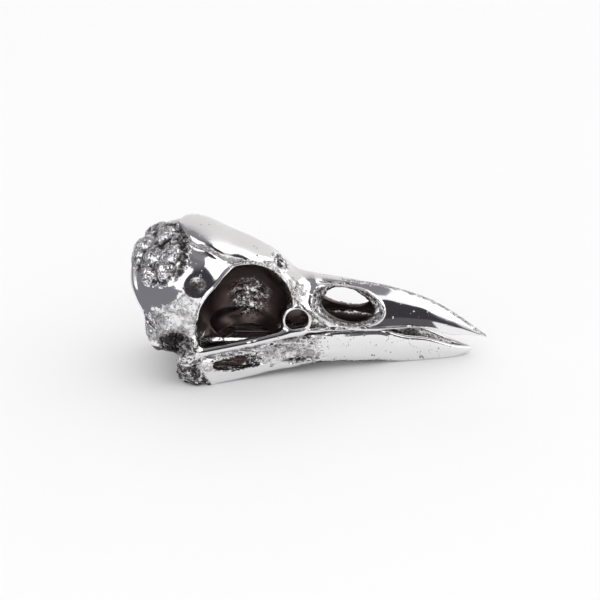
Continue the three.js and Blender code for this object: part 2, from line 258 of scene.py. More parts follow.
# ------------------------------------------------------------------- Forehead and eye sockets
# The roof between the eyes, with a satin shield on top, over two deep sockets that leave a thin
# wall between them. Cast in one with the braincase; the sockets are painted near black as shade.
FOREHEAD_FOOT = 12.0
SOCKET = ((-16.6, 11.9, 20.3), (11.6, 10.9, 11.3))
SOCKET_REAR = ((-21.0, 14.0, 19.0), (9.2, 8.4, 9.6))
SOCKET_FOOT = ((-25.0, 15.5, 14.2), (5.4, 7.5, 5.6))
SOCKET_WAIST = ((-17.5, 9.0, 15.0), (8.6, 7.6, 5.0))
BEHIND_SOCKET = ((-22.8, 10.6, 29.2), (-29.7, 15.6, 19.8))
TEAR_HOLE = (-4.1, 15.7)
TEAR_RADIUS = 2.9
TEAR_RING = 3.7
TEAR_MOUTH = 9.7
TEAR_FLOOR = 5.5
SHIELD_RISE = 0.3
TROUGH_DEPTH = 0.5
TROUGH_HALF = 1.3
TROUGH_OUT = 1.7
HINGE_PITS = ((-7.6, -1.6, 29.0), (3.0, 4.2, 2.8))
WALL_PITS = ((-15.3, 0.0, 19.6), (5.8, 3.4, 6.0))
roof_top = smooth_line(
    [(-34, 39.4), (-31, 39.5), (-28, 38.9), (-20.7, 36), (-12.9, 32.2),
     (-9.8, 30.4), (-6.4, 28), (-3.5, 25.4), (0, 23.9), (4, 23.2)]
)
roof_width = smooth_line(
    [(-33.4, 2.4), (-31.6, 7), (-29, 10.3), (-26, 11.2), (-22, 9.9),
     (-17, 8.8), (-12, 8.7), (-8, 9.2), (-5, 9.6), (0, 9.2)]
)
roof_crown = smooth_line([(-34, 3), (-26, 5), (-18, 6), (-8, 6.4), (-3, 9.6), (0, 11.4)])
roof_power = smooth_line([(-34, 2.4), (-20, 3), (-8, 3), (0, 1.9)])
shield_width = smooth_line(
    [(-33.4, 1), (-32.7, 3.3), (-31.2, 6.9), (-27.9, 9), (-24.1, 9.5),
     (-20.1, 8.4), (-16.7, 7.6), (-12, 5.6), (-8, 3)]
)


def forehead(x, y, z):
    """Block under the roof line: (|y / width|^p + rise^p)^(1/p) - 1, cut off at its foot and ends."""
    top, width, crown, power = roof_top(x), roof_width(x), roof_crown(x), roof_power(x)
    rise = np.clip((z - top + crown) / crown, 0, None)
    form = ((np.abs(y / width) ** power + rise**power) ** (1 / power) - 1) * np.minimum(width, crown)
    form = meet(form, FOREHEAD_FOOT - z, 1.2)
    form = meet(form, x - 2, 2.0)
    return meet(form, -33.4 - x, 0.8)


def head(x, y, z):
    """Braincase and forehead with the bars behind the sockets, before anything is cut in them."""
    side = np.abs(y)
    form = dome(x, y, z)
    form = melt(form, nape_crest(x, y, z, form), 0.9)
    form = melt(forehead(x, y, z), form, 1.2)
    return melt(form, rod(x, side, z, *BEHIND_SOCKET, 1.6, 0.9), 1.8)


def shield(x, y, z, form):
    """The shield stands proud of the roof, with a groove and a broad trough exp(-u^2) run round its edge."""
    edge = np.abs(y) - shield_width(x)
    trough = TROUGH_DEPTH * np.exp(-((edge - TROUGH_OUT) / TROUGH_HALF) ** 2)
    form = form + trough * zone(-z + 32, 3) * zone(x + 17, 4)
    top = zone(-z + 30, 1.5) * zone(x + 9, 4)
    form = form - SHIELD_RISE * zone(edge, 0.9) * top
    groove = bead(form, edge - 0.5, 0.32) + 2 * (1 - zone(-z + 31, 1.5) * zone(x + 16.5, 2))
    return carve(form, groove, 0.3)


def tear_distance(x, z):
    """Distance from the tear hole's middle line."""
    return np.sqrt((x - TEAR_HOLE[0]) ** 2 + (z - TEAR_HOLE[1]) ** 2)


def sockets(x, y, z, form):
    """Both sockets cut out, with a raised rim round each, and the ring of the tear hole before it."""
    side = np.abs(y)
    hollow = melt(egg(x, side, z, SOCKET), egg(x, side, z, SOCKET_REAR), 0.8)
    form = melt(form, bead(form + 0.1, hollow, 0.62), 0.5)
    form = carve(form, hollow, 0.5)
    form = carve(form, egg(x, side, z, SOCKET_FOOT), 0.4)
    form = carve(form, egg(x, side, z, SOCKET_WAIST), 0.4)
    away = tear_distance(x, z)
    ring = np.maximum(away - TEAR_RING, np.maximum(side - TEAR_MOUTH, TEAR_FLOOR - 1 - side))
    form = melt(form, ring, 0.9)
    return melt(form, bead(away - TEAR_RADIUS - 0.35, side - TEAR_MOUTH, 0.4), 0.3)


# --------------------------------------------------------------------------------- Upper bill
# A strong, slightly hooked bill with a long nostril through each side and a hollow underside.
# Cast solid from the nostrils forward; its flanks carry the best polish of the whole piece.
TIP = 46.9
NOSTRIL = (9.3, 16.6)
NOSTRIL_LENGTH = 6.9
NOSTRIL_HEIGHT = 3.5
NOSTRIL_BEVEL = 1.4
NOSTRIL_FLARE = 1.15
RIDGE_LINE = 2.3
NOSTRIL_TILT = math.radians(-17)
NOSTRIL_ROOF = 2.3
BILL_POWER = 1.85
BILL_HOLLOW = ((10.0, 0.0, 12.5), (13.0, 5.2, 6.2))
STRUT = ((-4.6, 23.4), (6.4, 12.6))
STRUT_HALF = 1.35
STRUT_RISE = 0.3
ridge = smooth_line(
    [(-6, 24.6), (0, 23.9), (10.7, 22.2), (18.5, 20.6), (26.3, 18.2),
     (34.1, 14.5), (39.3, 11), (44.5, 6.9), (46.9, 5)]
)
edge = smooth_line([(-6, 12.4), (10, 11.3), (23, 10.3), (31, 9.2), (36.4, 7), (41.7, 5.9), (46.9, 4.5)])
bill_width = smooth_line(
    [(-6, 9.6), (0, 9.3), (10, 7.6), (23, 5.5), (31, 4.1), (38, 2.6), (43, 1.35), (46.9, 0.3)]
)


def bill(x, y, z):
    """Rounded bill between its cutting edge and its ridge, with a bead along the cutting edge."""
    foot, width = edge(x), bill_width(x)
    height = ridge(x) - foot
    rise = np.clip((z - foot) / height, 0, None)
    flank = ((np.abs(y / width) ** BILL_POWER + rise**BILL_POWER) ** (1 / BILL_POWER) - 1)
    flank = flank * np.minimum(width, height) * 0.9
    form = meet(flank, foot - z, 0.4)
    form = melt(form, bead(flank, z - foot - 0.4, 0.34) + 1 - zone(x - 29, 8), 0.4)
    line = bead(flank, np.abs(y) - RIDGE_LINE - 0.1 * (4 - x), 0.28) + 2 * (1 - zone(np.abs(x - 5) - 6.5, 2))
    form = meet(carve(form, line, 0.3), -6 - x, 1.0)
    return meet(form, x - TIP, 0.3)


def nostril(x, y, z):
    """Tilted oval passage through both sides, bevelled as it comes out, kept under the roof of the bill."""
    c, s = math.cos(NOSTRIL_TILT), math.sin(NOSTRIL_TILT)
    along = (x - NOSTRIL[0]) * c + (z - NOSTRIL[1]) * s
    across = (z - NOSTRIL[1]) * c - (x - NOSTRIL[0]) * s
    oval = np.sqrt((along / NOSTRIL_LENGTH) ** 2 + (across / NOSTRIL_HEIGHT) ** 2)
    bevel = NOSTRIL_FLARE * (0.85 + 0.5 * np.clip(across / NOSTRIL_HEIGHT, -1, 1))
    flare = (oval - 1) * NOSTRIL_HEIGHT - bevel * np.clip(1 + bill(x, y, z) / NOSTRIL_BEVEL, 0, 1.4)
    return meet(flare, z - ridge(x) + NOSTRIL_ROOF - 0.45 * np.abs(y), 0.6)


def strut_line(x, z):
    """Signed distance above the slanting strut's middle line, and how far along it, 0 to 1."""
    (x0, z0), (x1, z1) = STRUT
    run = math.hypot(x1 - x0, z1 - z0)
    ux, uz = (x1 - x0) / run, (z1 - z0) / run
    return (z - z0) * ux - (x - x0) * uz, ((x - x0) * ux + (z - z0) * uz) / run


def strut(x, y, z, form):
    """Flat band between tear hole and nostril: the surface raised by STRUT_RISE, with a dark pocket below."""
    above, along = strut_line(x, z)
    ends = (np.abs(along - 0.5) - 0.5) * 12
    band = np.maximum(np.maximum(np.abs(above) - STRUT_HALF, ends), 4 - np.abs(y))
    form = melt(form, np.maximum(form - STRUT_RISE, band), 0.2)
    pocket = meet(above + STRUT_HALF + 0.35, TEAR_RING + 0.45 - tear_distance(x, z), 0.4)
    pocket = meet(pocket, edge(x) + 1.0 - z, 0.4)
    pocket = np.maximum(meet(pocket, np.abs(x - 1) - 5, 0.4), TEAR_FLOOR + 2.6 - np.abs(y))
    return carve(form, pocket, 0.35)


def upper_skull(x, y, z):
    """The whole skull above the jaw, with its openings cut and their rims raised."""
    side = np.abs(y)
    form = shield(x, y, z, head(x, y, z))
    form = sockets(x, y, z, braincase_cuts(x, y, z, form))
    form = strut(x, y, z, melt(form, bill(x, y, z), 1.5))
    passage = nostril(x, y, z)
    form = carve(melt(form, bead(form + 0.1, passage, 0.4), 0.3), passage, 0.35)
    form = carve(form, egg(x, y, z, BILL_HOLLOW), 0.6)
    return carve(form, np.maximum(tear_distance(x, z) - TEAR_RADIUS, TEAR_FLOOR - side), 0.4)


# ------------------------------------------------------- Cheek bars, joint blocks and palate
# Thin bars that run from the bill's corners back to the jaw joints, each with a shelf inside it,
# and the palate's slips below. They tie the skull to the jaw, and came out of the same pour.
CHEEK_BAR = ((-3.0, 9.0, 12.4), (-16.0, 12.2, 10.9), (-31.0, 14.4, 9.3))
JOINT_BLOCK = ((-32.0, 13.2, 9.6), (3.4, 3.0, 4.6))
PALATE_WING = ((-19.6, 2.6, 9.6), (-30.2, 11.2, 7.2))
SLIVER = (-22.0, 9.4, 10.3)
SLIVER_FACING = (-0.293, -0.805, 0.515)
SLIVER_HALF_LENGTH = 6.6
SLIVER_RISE = 1.2
cheek_out = smooth_line([(-31, 14.4), (-16, 12.2), (-3, 9)])
cheek_high = smooth_line([(-31, 9.3), (-16, 10.9), (-3, 12.4)])
palate_out = smooth_line([(-20, 2.6), (-10, 3.9), (-2, 4.6)])


def cheek(x, y, z):
    """Bar in two straight lengths that taper, run into the joint block."""
    side = np.abs(y)
    form = rod(x, side, z, CHEEK_BAR[0], CHEEK_BAR[1], 1.3, 1.0)
    form = melt(form, rod(x, side, z, CHEEK_BAR[1], CHEEK_BAR[2], 1.0, 1.2), 0.8)
    return melt(form, egg(x, side, z, JOINT_BLOCK), 1.2)


def shelf(x, y, z):
    """Thin plate inside the bar, widening to the rear."""
    half = 0.4 + 2.5 * np.clip((-9 - x) / 20, 0, 1)
    form = np.maximum(np.abs(np.abs(y) - cheek_out(x) + half) - half, np.abs(z - cheek_high(x) + 0.5) - 0.5)
    return meet(meet(form, -30 - x, 0.5), x + 8, 0.5)


def sliver(x, y, z):
    """Polished slip on the shelf: a slanting face whose outline is a lens, 1 - u^2, from end to end."""
    side = np.abs(y)
    (cx, cy, cz), (fx, fy, fz) = SLIVER, SLIVER_FACING
    u = (x - cx) / SLIVER_HALF_LENGTH
    face = (x - cx) * fx - (side - cy) * fy + (z - cz) * fz
    up = (z - cz) * fy - (cy - side) * fz - 0.1 * (x - cx)
    outline = np.maximum(up - SLIVER_RISE * (1 - u * u), -up - 0.9)
    return np.maximum(np.maximum(face, -face - 1.0), np.maximum(outline, np.abs(u) - 1)) * 0.9


def palate(x, y, z):
    """Flat slip either side of the middle with a thin wing that runs back to the joint block."""
    side = np.abs(y)
    form = (np.abs((side - palate_out(x)) / 1.5) ** 3 + np.abs((z - 10.3) / 0.6) ** 3) ** (1 / 3)
    form = meet(meet((form - 1) * 0.6, -20 - x, 0.4), x - 0.5, 0.4)
    return melt(form, rod(x, side, z, *PALATE_WING, 0.8, 0.8), 0.6)


# --------------------------------------------------------------------------------- Lower jaw
# Two thin upright branches that meet in a shallow scoop at the chin, cast shut against the bill.
# The lower edge and the front are polished; the hollows of the rear half keep a rough skin, with painted
# shade in them.
JAW_REAR = -34.8
JAW_TIP = 42.8
JAW_LEAN = 0.1
CHIN_START = 20.0
CHIN_WALL = 1.25
CHIN_NOTCH = ((18.0, 0.0, 0.0), (8.0, 3.4, 30.0))
JAW_HOLLOWS = (((-17.5, 14.2, 5.6), (8.4, 3.0, 2.1)), ((-1.0, 10.4, 4.3), (5.0, 1.5, 0.8)))
CHEEK_GROOVE = ((-28.0, 15.2, 7.9), (-1.4, 9.95, 10.7))
BRANCH_POWER = 2.6
POLISHED_BAND = 4.1
ROUGH_JAW_FRONT = 3
CORNER_TOP = 6.2
jaw_width = smooth_line(
    [(-35, 14.4), (-30, 14.9), (-20, 13.2), (-10, 11.1), (0, 9.1),
     (10, 7.3), (20, 5.5), (30, 3.8), (38, 2.3), (42.8, 0.5)]
)
jaw_foot = smooth_line(
    [(-35, 1.8), (-30, -0.25), (-24, -0.1), (-14, 1.2), (-3, 2),
     (6, 2.1), (18, 0.9), (31, -0.2), (38, -0.15), (42.8, 1)]
)
jaw_top = smooth_line(
    [(-35, 7.6), (-28, 8.3), (-20, 9), (-10, 10), (-3, 10.8), (4, 11.2), (10, 10.9),
     (18, 10.1), (21, 8.9), (24, 7.6), (31, 5.9), (34, 4.7), (38, 3.1), (42.8, 1.8)]
)
jaw_wall = smooth_line([(-35, 3.6), (-20, 2.6), (0, 2.2), (20, 2), (30, 1.6), (42.8, 1)])
chin_power = smooth_line([(20, 4), (24, 3), (30, 2.4), (42.8, 2.2)])


def jaw(x, y, z):
    """Each branch is an upright rounded slab; in front a scoop with a wall of CHIN_WALL joins them."""
    side = np.abs(y)
    outer, low, high, wall = jaw_width(x), jaw_foot(x), jaw_top(x), jaw_wall(x)
    middle, half = (low + high) / 2, (high - low) / 2
    across = (side - np.maximum(outer - wall / 2, 0) - JAW_LEAN * (z - middle)) / (wall / 2)
    upright = np.abs((z - middle) / half)
    branch = ((np.abs(across) ** BRANCH_POWER + upright**BRANCH_POWER) ** (1 / BRANCH_POWER) - 1)
    branch = branch * np.minimum(wall / 2, half)
    for hollow in JAW_HOLLOWS:
        branch = carve(branch, egg(x, side, z, hollow), 0.5)
    branch = carve(branch, rod(x, side, z, *CHEEK_GROOVE, 0.75, 0.6), 0.4)
    depth, down, power = np.maximum(high - low, 0.4), np.clip(high - z, 0, None), chin_power(x)
    scoop = (np.abs(y / np.maximum(outer, 0.3)) ** power + (down / depth) ** power) ** (1 / power) - 1
    scoop = meet(scoop * np.minimum(outer, depth), z - high, 0.5)
    wide, deep = np.maximum(outer - CHIN_WALL, 0.2), np.maximum(depth - CHIN_WALL, 0.3)
    inner = (np.sqrt((y / wide) ** 2 + (down / deep) ** 2) - 1) * np.minimum(wide, deep)
    scoop = meet(carve(scoop, inner, 0.4), CHIN_START - x, 1.0)
    form = carve(melt(branch, scoop, 0.8), egg(x, y, z, CHIN_NOTCH), 0.6)
    return meet(meet(form, x - JAW_TIP, 0.6), JAW_REAR - x, 1.2)


def rough_jaw(x, y, z):
    """1 where the jaw's side keeps its casting skin: the rear half above the polished lower band."""
    band = POLISHED_BAND - 0.03 * (x + 25) + 1.2 * (grain(x, y, z, 3.0, 11) - 0.5)
    front = zone(x - ROUGH_JAW_FRONT + 6 * (grain(x, y, z, 4, 12) - 0.5), 5)
    above = zone(band - z, 0.8) * zone(z - jaw_top(x) + 0.3, 0.8) * front
    corner = zone(x + 26 + 0.7 * (z - 1), 2.0) * zone(z - CORNER_TOP, 2)
    return np.maximum(above, corner)


# -------------------------------------------------------------------------------- The casting
# All the parts in one closed skin with no seam, since the real piece is one pour of bright metal,
# ground and polished outside. Deep hollows are painted near black as shade, and their rims shine.
STEP = 0.27
MOST_TRIANGLES = 190000
BLOCK = 4
BLOCKS_AT_ONCE = 15000
MARGIN = 1.5
AROUND = 2.5
SETTLE_ROUNDS = 3
LONGEST_STEP = 0.2
CRAGS = ((0.5, 1.3), (0.6, 0.75), (0.4, 0.45))
FLOW = 3.4
CRAG_HEIGHT = {"crown": 0.35, "wall": 0.6, "ear": 0.9, "jaw": 1.1, "cheek": 0.4, "bevel": 0.35}
WAVES = ((0.12, 6.0, 9), (0.02, 2.4, 10))
CHEEK_SKIN_BORDER = ((-42.3, 19.5, 0.86), (-32.6, 27.2, -0.9))


def craggy(x, y, z):
    """Rough casting skin, about -0.5 to 0.5: three grains, each finer than the last."""
    return sum(share * (grain(x, y, z, size, 5) - 0.5) for share, size in CRAGS)


def flowed(x, y, z):
    """Casting skin drawn out along the bone: the same grains, 3.4 times as long in x as across."""
    return craggy(x / FLOW, y, z / 1.2)


def chips(x, y, z):
    """Broken bits packed together: round tops on a scatter of spots, with deep gaps between."""
    return np.clip(0.75 - 1.5 * pebbles(x, y, z, 1.1, 6), -0.4, 0.45) - 0.5 * craggy(x, y, z)


def cheek_skin(x, y, z):
    """Below zero over the lower side of the braincase, where the casting skin was only brushed."""
    rear, front = [z - z0 - tilt * (x - x0) for x0, z0, tilt in CHEEK_SKIN_BORDER]
    upper = np.maximum(rear, front) + 1.6 * (grain(x, y, z, 2.6, 7) - 0.5)
    return np.maximum(np.maximum(upper, x + 29.5), np.maximum(8 - np.abs(y), 12.5 - z))


def bevel_skin(x, y, z):
    """Below zero on the bevel round each nostril, which keeps its casting skin."""
    passage = nostril(x, y, z)
    ring = np.maximum(passage - 0.1, -0.5 - passage)
    return np.maximum(ring, np.maximum(-bill(x, y, z) - NOSTRIL_BEVEL, z - ridge(x) + 1.2))


def casting_field(x, y, z):
    """Every part run together, with the lumps, pits and slight waviness of a hand-finished casting."""
    side = np.abs(y)
    form = melt(upper_skull(x, y, z), cheek(x, y, z), 1.2)
    form = melt(form, shelf(x, y, z), 0.7)
    form = np.minimum(form, sliver(x, y, z))
    form = melt(form, palate(x, y, z), 0.6)
    form = melt(form, jaw(x, y, z), 0.5)
    form = melt(form, nodules(x, y, z), 0.7)
    crown = egg(x, y, z, ROUGH_CROWN)
    form = form - patch(x, y, z, np.maximum(crown, nodules(x, y, z) - 0.3), 0.8, crown_grit)
    form = form + CRAG_HEIGHT["crown"] * patch(x, y, z, crown, 1.4, craggy)
    form = form - patch(x, y, z, egg(x, y, z, HINGE_PITS), 1.2, chips)
    form = form + CRAG_HEIGHT["wall"] * patch(x, y, z, egg(x, side, z, WALL_PITS), 3.6, craggy)
    form = form + CRAG_HEIGHT["ear"] * patch(x, y, z, egg(x, side, z, EAR_HOLLOW) - 0.3, 1.2, craggy)
    form = form + CRAG_HEIGHT["jaw"] * patch(x, y, z, 0.5 - rough_jaw(x, y, z), 1.0, flowed)
    form = form + CRAG_HEIGHT["cheek"] * patch(x, y, z, cheek_skin(x, y, z), 1.5, craggy)
    form = form + CRAG_HEIGHT["bevel"] * patch(x, y, z, bevel_skin(x, y, z), 0.6, craggy)
    for height, size, seed in WAVES:
        form = form + height * (grain(x, y, z, size, seed) - 0.5)
    return meet(form, -z, 0.2)


def sample(field, low, high, step):
    """The field on a grid, worked out only in blocks near the surface; the rest keep their middle's value."""
    count = np.ceil((high - low) / step / BLOCK).astype(int)
    middles = [low[i] + step * (BLOCK * np.arange(count[i]) + (BLOCK - 1) / 2) for i in range(3)]
    coarse = field(*np.meshgrid(*middles, indexing="ij"))
    grid = coarse.repeat(BLOCK, 0).repeat(BLOCK, 1).repeat(BLOCK, 2)
    near = np.argwhere(np.abs(coarse) < MARGIN * BLOCK * step)
    inside = np.stack(np.meshgrid(*[np.arange(BLOCK)] * 3, indexing="ij"), -1).reshape(-1, 3)
    for part in np.array_split(near, len(near) // BLOCKS_AT_ONCE + 1):
        cells = (part[:, None] * BLOCK + inside).reshape(-1, 3)
        grid[tuple(cells.T)] = field(*(low + step * cells).T)
    return grid


def skin(grid, low, step):
    """Surface nets: a vertex in each cell that the surface enters, a face for each edge it crosses.

    The vertex is the mean of the crossings on the cell's own edges.
    """
    metal = grid < 0
    cells = tuple(n - 1 for n in grid.shape)
    corners = [(i, j, k) for i in (0, 1) for j in (0, 1) for k in (0, 1)]
    full = sum(metal[i:i + cells[0], j:j + cells[1], k:k + cells[2]].astype(np.int8) for i, j, k in corners)
    entered = (full > 0) & (full < 8)
    cell = np.argwhere(entered)
    number = np.full(cells, -1)
    number[entered] = np.arange(len(cell))
    value = {c: grid[tuple((cell + c).T)] for c in corners}
    total, crossings = np.zeros((len(cell), 3)), np.zeros(len(cell))
    for a in corners:
        for b in corners:
            if sum(b) - sum(a) == 1 and all(q >= p for p, q in zip(a, b)):
                crossed = (value[a] < 0) != (value[b] < 0)
                t = np.where(crossed, value[a] / np.where(crossed, value[a] - value[b], 1), 0)
                total += crossed[:, None] * (np.array(a) + t[:, None] * np.subtract(b, a))
                crossings += crossed
    points = low + step * (cell + total / crossings[:, None])
    faces = []
    for axis in range(3):
        u, v = (axis + 1) % 3, (axis + 2) % 3
        here = np.take(metal, np.arange(cells[axis]), axis)
        crossed = np.argwhere(here != np.take(metal, np.arange(1, cells[axis] + 1), axis))
        around = []
        for du, dv in ((1, 1), (0, 1), (0, 0), (1, 0)):
            neighbour = crossed.copy()
            neighbour[:, u] -= du
            neighbour[:, v] -= dv
            around.append(number[tuple(neighbour.T)])
        face = np.stack(around, 1)
        outward = here[tuple(crossed.T)]
        face[~outward] = face[~outward][:, ::-1]
        faces.append(face)
    return points, np.concatenate(faces)


def slope(field, points, reach=0.05):
    """Gradient of the field at each point, by central differences."""
    moves = reach * np.eye(3)
    return np.stack([(field(*(points + m).T) - field(*(points - m).T)) / (2 * reach) for m in moves], 1)


def settle(field, points, rounds):
    """Newton steps on to the surface: p - f g / |g|^2, each no longer than LONGEST_STEP."""
    for _ in range(rounds):
        g = slope(field, points)
        step = -(field(*points.T) / ((g * g).sum(1) + 1e-6))[:, None] * g
        length = np.linalg.norm(step, axis=1, keepdims=True)
        points = points + step * np.minimum(1, LONGEST_STEP / np.maximum(length, 1e-9))
    return points


def envelope(x, y, z):
    """The skull's outer form with every opening filled, so minus it is the depth below the surface."""
    side = np.abs(y)
    form = np.minimum(head(x, y, z), bill(x, y, z))
    form = np.minimum(form, np.maximum(tear_distance(x, z) - TEAR_RING, side - TEAR_MOUTH))
    over_cheek = cheek_high(x) + 1 + 3.5 * zone(x + 9, 2) * zone(-28.5 - x, 2)
    lid = np.maximum(jaw_top(x), over_cheek * (x < 0))
    lid = lid + 1.5 * zone(np.abs(x - 8) - 12, 1)
    form = np.minimum(form, np.maximum(side - jaw_width(x), np.maximum(z - lid, jaw_foot(x) - z)))
    return np.minimum(form, np.minimum(cheek(x, y, z), jaw(x, y, z)))


# Painted shade: the depth below the envelope where it starts, and the depth over which it becomes full.
SHADE_FROM = 0.5
SHADE_OVER = 0.9
# Painted shade in the temple dish, which dims its highlight.
TEMPLE_SHADE = 0.62
CLEARANCES = (0.4, 0.9, 1.8)
# Dark shares by place: cast skin at the jaw's rear corner and the nostril's bevel, a darker patch at the
# joint block, and painted shade in the ear, the jaw's hollows, the gaps between chips and the crown's low
# spots.
GRIME_AND_SHADE = {"ear": 0.5, "hollow": 0.8, "joint": 0.44, "corner": 0.55, "bevel": 0.45, "chips": 0.7, "crown": 0.62}
ROUGH = {"jaw": 0.64, "cheek": 0.74, "bevel": 0.6, "brow": 0.42, "ridge": 0.5}
CHEEK_SATIN = 0.8
PITTED_LEAST = 0.35


def strongest(*shares):
    """The highest of several shares at each point."""
    return np.maximum.reduce(shares)


def painted_shade(x, y, z):
    """Painted shade, a near-black share: rises with the depth below the envelope, and is weaker on the raised
    spots of the wall's pitted patch.
    """
    side = np.abs(y)
    dark = np.clip((-envelope(x, y, z) - SHADE_FROM) / SHADE_OVER, 0, 1)
    # Painted shade inside each cheek bar, on the faces just above it.
    inner_bar = zone(side - cheek_out(x) - 0.3, 0.4) * zone(cheek_high(x) + 0.2 - z, 0.5) * zone(x + 8, 2)
    dark = np.maximum(dark, inner_bar * zone(z - cheek_high(x) - 2, 0.5) * zone(9 - side, 1))
    # Painted shade between the bill and the jaw.
    bill_corner = zone(side - jaw_width(x) + 0.9, 0.5) * zone(np.abs(x - 8) - 12, 1) * zone(z - 13, 1)
    dark = np.maximum(dark, bill_corner)
    dark = dark * (1 - zone(np.abs(sliver(x, y, z)) - 0.05, 0.1))
    dark = dark * (1 - 0.5 * zone(19 - x, 2) * zone(z - 12, 1))
    # Painted shade in the temple dish, dimming the highlight there.
    dark = np.maximum(dark, TEMPLE_SHADE * zone(egg(x, side, z, TEMPLE_DISH) - 1.0, 1.2))
    # Less painted shade on the raised spots of the wall's pitted patch.
    wall_patch = zone(egg(x, side, z, WALL_PITS) - 0.3, 2.0)
    return dark * (1 - wall_patch * (0.36 - 0.7 * np.clip(craggy(x, y, z), -0.3, 0.3)))


def brushed_satin(x, y, z):
    """Even brushing on the shield's top, the bill's ridge before it, and the braincase's lower side."""
    side = np.abs(y)
    top = zone(-z + 27 - 0.6 * (x + 9), 2) * zone(side - shield_width(x) + 0.2, 0.8)
    ridge_top = zone(side - RIDGE_LINE - 0.1 * (4 - x) + 0.2, 0.5) * zone(x - 9, 4) * zone(23 - z, 1)
    return strongest(top * zone(x + 6, 4), ridge_top, CHEEK_SATIN * zone(cheek_skin(x, y, z), 1.0))


def finish(points, normals, steep):
    """How each point was left: `dark` for painted shade in deep hollows, a dark share for dirt and painted
    shade in low spots, `rough`, `satin` or `pitted`.
    """
    x, y, z = points.T
    side = np.abs(y)
    dark = painted_shade(x, y, z)
    on_jaw = zone(z - jaw_top(x) + 0.3, 0.6) * zone(jaw_width(x) - 1.3 - side, 0.6)
    ear = zone(egg(x, side, z, EAR_HOLLOW) - 0.2, 0.6)
    half_lit = np.maximum(on_jaw, ear)
    hollow = np.minimum(egg(x, side, z, JAW_HOLLOWS[0]), egg(x, side, z, JAW_HOLLOWS[1]))
    corner = zone(x + 26.5 + 0.7 * (z - 1), 1.5) * zone(z - CORNER_TOP, 1)
    bevel = zone(bevel_skin(x, y, z), 0.3)
    crown = zone(egg(x, y, z, ROUGH_CROWN) + 0.5, 1.0)
    grit = crown_grit(x, y, z) + 0.25 * zone(nodules(x, y, z) - 0.2, 0.5)
    low = crown * (1 - np.clip((grit - 0.1) / 0.3, 0, 1))
    # Dirt of the cast skin, and painted shade in hollows and low spots, including the deep-hollow shade on
    # the jaw's top and in the ear.
    grime_and_shade = strongest(
        dark * half_lit,
        GRIME_AND_SHADE["ear"] * ear,
        GRIME_AND_SHADE["hollow"] * zone(hollow - 0.25, 1.0),
        GRIME_AND_SHADE["joint"] * zone(egg(x, side, z, JOINT_BLOCK) - 0.3, 0.5),
        GRIME_AND_SHADE["corner"] * corner,
        GRIME_AND_SHADE["bevel"] * bevel,
        GRIME_AND_SHADE["chips"] * zone(egg(x, y, z, HINGE_PITS) + 0.4, 0.8) * zone(chips(x, y, z) + 0.05, 0.2),
        GRIME_AND_SHADE["crown"] * low,
    )
    clear = [np.clip(casting_field(*(points + d * normals).T) / (d * steep), 0, 1) for d in CLEARANCES]
    crease = np.clip(1.3 - 1.6 * sum(clear) / len(clear), 0, 1)
    left = rough_jaw(x, y, z) * zone(z - 11, 1) * zone(jaw_width(x) - 1.6 - side, 0.6)
    under_roof = zone(shield_width(x) + 0.5 - side, 1.0) * zone(roof_top(x) - 5 - z, 1.5)
    brow = under_roof * zone(np.abs(x + 15) - 8, 3)
    ridge_edge = zone(side - 1.1, 0.8) * zone(ridge(x) - 0.8 - z, 0.6) * zone(8 - x, 4)
    pillar = zone(np.abs(x + 4.5) - 3.5, 2.5) * zone(np.abs(z - 23.5) - 3, 2) * zone(5 - side, 1)
    rough = strongest(
        crease,
        ear,
        low,
        ROUGH["jaw"] * left * grain(x / 2, y, z, 2.2, 15),
        ROUGH["cheek"] * zone(cheek_skin(x, y, z), 0.8) * grain(x, y, z, 2.6, 14),
        ROUGH["bevel"] * bevel,
        ROUGH["brow"] * np.maximum(brow, pillar),
        ROUGH["ridge"] * ridge_edge,
    )
    pitted = PITTED_LEAST + (1 - PITTED_LEAST) * zone(z - jaw_top(x), 1.0) * zone(-x - 6, 4)
    satin = brushed_satin(x, y, z)
    return {"dark": dark * (1 - half_lit), "grime_and_shade": grime_and_shade, "rough": rough, "satin": satin, "pitted": pitted}


def node(tree, kind, inputs=None, **settings):
    """Adds a node; `inputs` gives sockets a value or another node's output, `settings` its properties."""
    made = tree.nodes.new(kind)
    for name, value in settings.items():
        setattr(made, name, value)
    for socket, value in (inputs or {}).items():
        if isinstance(value, bpy.types.NodeSocket):
            tree.links.new(value, made.inputs[socket])
        else:
            made.inputs[socket].default_value = value
    return made


def sum_of(tree, a, b, operation="ADD"):
    """One Math node's output."""
    return node(tree, "ShaderNodeMath", {0: a, 1: b}, operation=operation).outputs[0]


def ramp(tree, value, low, high, start=0.0, end=1.0):
    """Straight ramp of a value from low..high to start..end, held past both ends."""
    limits = {"Value": value, "From Min": low, "From Max": high, "To Min": start, "To Max": end}
    return node(tree, "ShaderNodeMapRange", limits).outputs["Result"]


def noise(tree, place, scale, detail=2.0):
    """Noise on Object coordinates, `scale` cycles to the metre."""
    inputs = {"Vector": place, "Scale": scale, "Detail": detail}
    return node(tree, "ShaderNodeTexNoise", inputs).outputs["Fac"]


def blend_colour(tree, share, first, second):
    """Mix of two colours by a share."""
    mix = node(tree, "ShaderNodeMix", data_type="RGBA")
    for socket, value in ((0, share), (6, first), (7, second)):
        if isinstance(value, bpy.types.NodeSocket):
            tree.links.new(value, mix.inputs[socket])
        else:
            mix.inputs[socket].default_value = value
    return mix.outputs[2]


POLISHED = (0.90, 0.895, 0.895, 1)
AS_CAST = (0.62, 0.60, 0.60, 1)
GRIMY = (0.25, 0.232, 0.232, 1)
# Near black for painted shade in deep hollows.
SHADE_BLACK = (0.115, 0.088, 0.082, 1)
